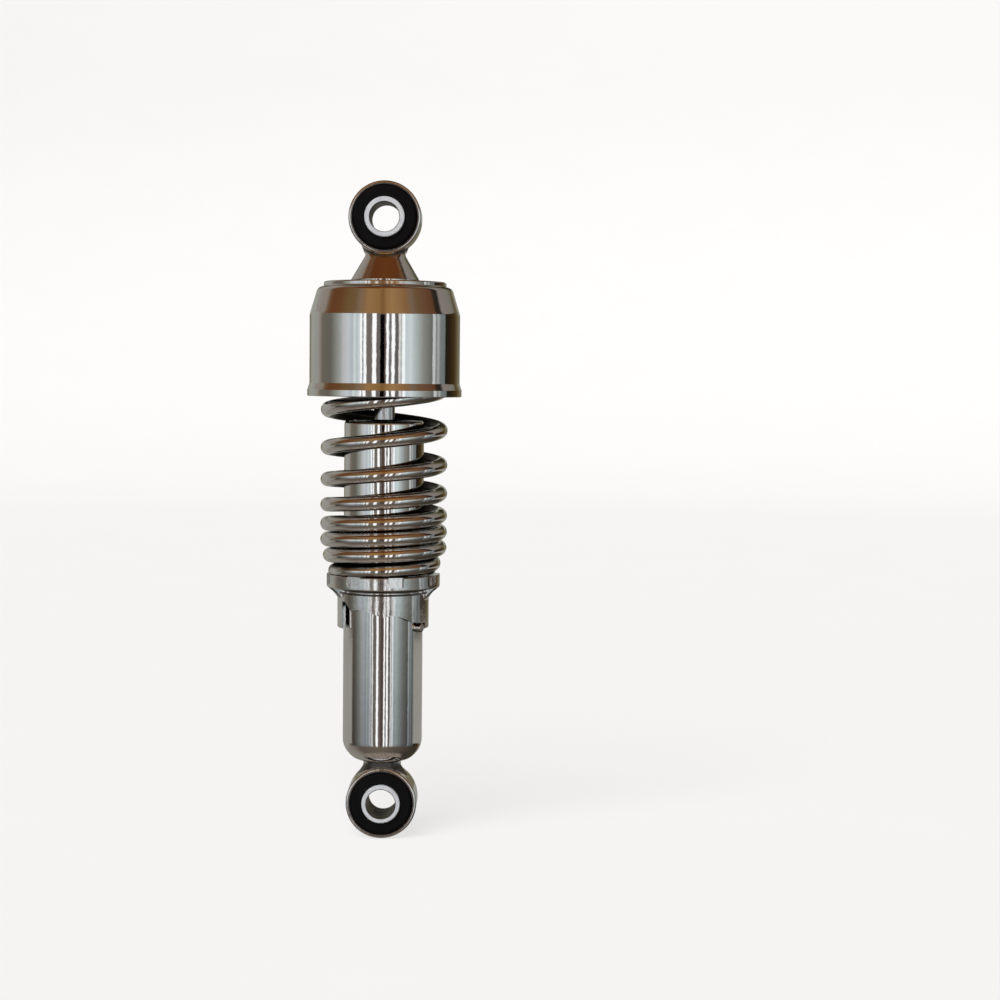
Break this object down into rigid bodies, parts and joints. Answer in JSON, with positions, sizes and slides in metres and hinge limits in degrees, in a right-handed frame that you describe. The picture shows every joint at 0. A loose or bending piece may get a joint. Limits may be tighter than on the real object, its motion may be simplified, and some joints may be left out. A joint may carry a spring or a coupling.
{
  "type": "rear shock absorber",
  "caption": "Coil-over rear shock absorber: twin-tube damper, progressive spring, cup-shaped upper cover, stepped preload collar and rubber-bushed eyes.",
  "frame": {"origin": "centre of the lower eye's bore, halfway along it", "axes": "+Z along the damper from the lower eye to the upper eye; both eyes are bored along Y; -Y is the front"},
  "size_m": [0.0738, 0.0738, 0.3142],
  "materials": {
    "chrome": "bright decorative chrome plate",
    "hard_chrome": "ground and hard chromed",
    "bush_rubber": "moulded, matt",
    "sleeve_steel": "turned and zinc plated",
    "seal_rubber": "moulded, matt",
    "zinc_steel": "zinc plated",
    "plain_steel": "drawn tube, oiled",
    "sintered_iron": "sintered, machined",
    "bearing_bronze": "plain bearing",
    "ring_plastic": "filled plastic ring"
  },
  "bodies": {
    "lower_pivot": {"lower_eye_sleeve": "sleeve_steel"},
    "damper_body": {"body_tube": "chrome", "lower_eye": "chrome", "lower_eye_bush": "bush_rubber", "cam_lugs": "chrome", "inner_cylinder": "plain_steel", "foot_valve_body": "sintered_iron", "foot_valve_disc": "zinc_steel", "foot_valve_rivet": "zinc_steel", "rod_guide": "sintered_iron", "rod_guide_bush": "bearing_bronze", "guide_o_ring": "seal_rubber", "oil_seal": "seal_rubber", "seal_retainer": "zinc_steel", "dust_seal": "seal_rubber"},
    "cover_group": {"spring_cover": "chrome", "upper_spring_seat": "zinc_steel"},
    "rod_and_eye": {"upper_eye": "chrome", "upper_eye_bush": "bush_rubber", "rod_lock_nut": "zinc_steel", "bump_stop": "seal_rubber", "damper_rod": "hard_chrome", "rebound_stop": "zinc_steel", "piston_washer": "zinc_steel", "piston_valve_disc": "zinc_steel", "piston": "sintered_iron", "piston_ring": "ring_plastic", "piston_nut": "zinc_steel"},
    "upper_pivot": {"upper_eye_sleeve": "sleeve_steel"},
    "spring": {"coil_spring": "chrome"},
    "collar": {"cam_collar": "chrome"}
  },
  "joints": [
    {"name": "lower_bush_twist", "type": "hinge", "parent": "lower_pivot", "child": "damper_body", "pos_m": [0, 0, 0], "axis": [0, 1, 0], "range_deg": [-12, 12], "stiffness_Nm_per_rad": 40},
    {"name": "compression", "type": "slide", "parent": "damper_body", "child": "cover_group", "axis": [0, 0, 1], "range_m": [-0.04, 0], "stiffness_N_per_m": 20000, "springref_m": 0.01, "deforming": ["coil_spring"]},
    {"name": "eye_swivel", "type": "hinge", "parent": "cover_group", "child": "rod_and_eye", "pos_m": [0, 0, 0.2497], "axis": [0, 0, 1], "continuous": true},
    {"name": "upper_bush_twist", "type": "hinge", "parent": "rod_and_eye", "child": "upper_pivot", "pos_m": [0, 0, 0.28], "axis": [0, 1, 0], "range_deg": [-12, 12], "stiffness_Nm_per_rad": 40},
    {"name": "preload_lift", "type": "slide", "parent": "damper_body", "child": "spring", "axis": [0, 0, 1], "range_m": [-0.0062, 0]},
    {"name": "preload_turn", "type": "hinge", "parent": "spring", "child": "collar", "pos_m": [0, 0, 0.1], "axis": [0, 0, 1], "range_deg": [0, 112.5]}
  ],
  "couplings": [
    {"joint": "preload_lift", "follows": "preload_turn", "m_per_rad": -0.0031513}
  ]
}
